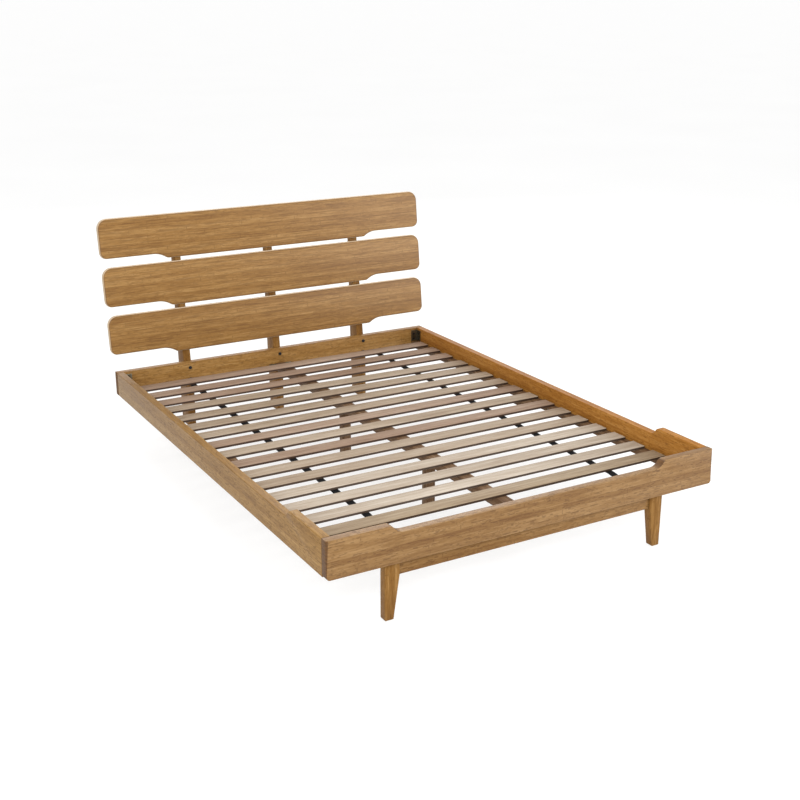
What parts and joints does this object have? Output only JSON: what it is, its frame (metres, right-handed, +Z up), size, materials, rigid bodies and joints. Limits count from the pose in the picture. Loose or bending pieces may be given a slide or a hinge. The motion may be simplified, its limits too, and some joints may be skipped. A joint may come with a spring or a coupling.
{
  "type": "bed frame",
  "caption": "Low wooden platform bed frame for a queen mattress, with a slatted base that lifts out, raised foot corners and leaning headboard planks on posts that are the rear legs.",
  "frame": {"origin": "on the floor, under the middle of the frame's overall box", "axes": "+Y towards the headboard, +X to the right seen from the foot, +Z up"},
  "size_m": [1.626, 2.2188, 0.9965],
  "materials": {
    "rail_bamboo": "satin lacquer on laminated bamboo",
    "headboard_bamboo": "satin lacquer on laminated bamboo",
    "leg_bamboo": "satin lacquer on laminated bamboo",
    "support_wood": "plain planed wood, dark",
    "slat_wood": "unlacquered planed wood",
    "strap_webbing": "woven black webbing",
    "bracket_steel": "dark bronze-grey",
    "bolt_black": "black oxide",
    "screw_steel": "zinc plated",
    "glide_nylon": "moulded nylon"
  },
  "bodies": {
    "bed_frame": {"side_rail_left": "rail_bamboo", "side_rail_right": "rail_bamboo", "foot_rail": "rail_bamboo", "head_rail": "rail_bamboo", "plank_bottom": "headboard_bamboo", "plank_middle": "headboard_bamboo", "plank_top": "headboard_bamboo", "foot_leg_left": "leg_bamboo", "foot_leg_right": "leg_bamboo", "foot_apron": "leg_bamboo", "headboard_post_left": "leg_bamboo", "headboard_post_center": "leg_bamboo", "headboard_post_right": "leg_bamboo", "slat_ledger_left": "support_wood", "slat_ledger_right": "support_wood", "mid_block_left": "support_wood", "mid_block_right": "support_wood", "centre_beam": "support_wood", "centre_leg_head": "support_wood", "centre_leg_foot": "support_wood", "corner_bracket_foot_left": "bracket_steel", "corner_bracket_foot_right": "bracket_steel", "corner_bracket_head_left": "bracket_steel", "corner_bracket_head_right": "bracket_steel", "beam_brackets_foot": "bracket_steel", "beam_brackets_head": "bracket_steel", "corner_bracket_screws": "bolt_black", "beam_bracket_screws": "bolt_black", "mid_block_screws": "bolt_black", "foot_leg_bolts": "bolt_black", "post_bolts": "bolt_black", "ledger_screws": "screw_steel", "centre_leg_bolts": "screw_steel", "plank_screws": "screw_steel", "leg_glides": "glide_nylon"},
    "slat_mat": {"slat_01": "slat_wood", "slat_02": "slat_wood", "slat_03": "slat_wood", "slat_04": "slat_wood", "slat_05": "slat_wood", "slat_06": "slat_wood", "slat_07": "slat_wood", "slat_08": "slat_wood", "slat_09": "slat_wood", "slat_10": "slat_wood", "slat_11": "slat_wood", "slat_12": "slat_wood", "slat_13": "slat_wood", "slat_14": "slat_wood", "slat_15": "slat_wood", "slat_16": "slat_wood", "strap_left": "strap_webbing", "strap_right": "strap_webbing", "strap_staples": "screw_steel"}
  },
  "joints": [
    {"name": "slat_mat_lift", "type": "slide", "parent": "bed_frame", "child": "slat_mat", "axis": [0, 0, 1], "range_m": [0, 0.15]}
  ]
}
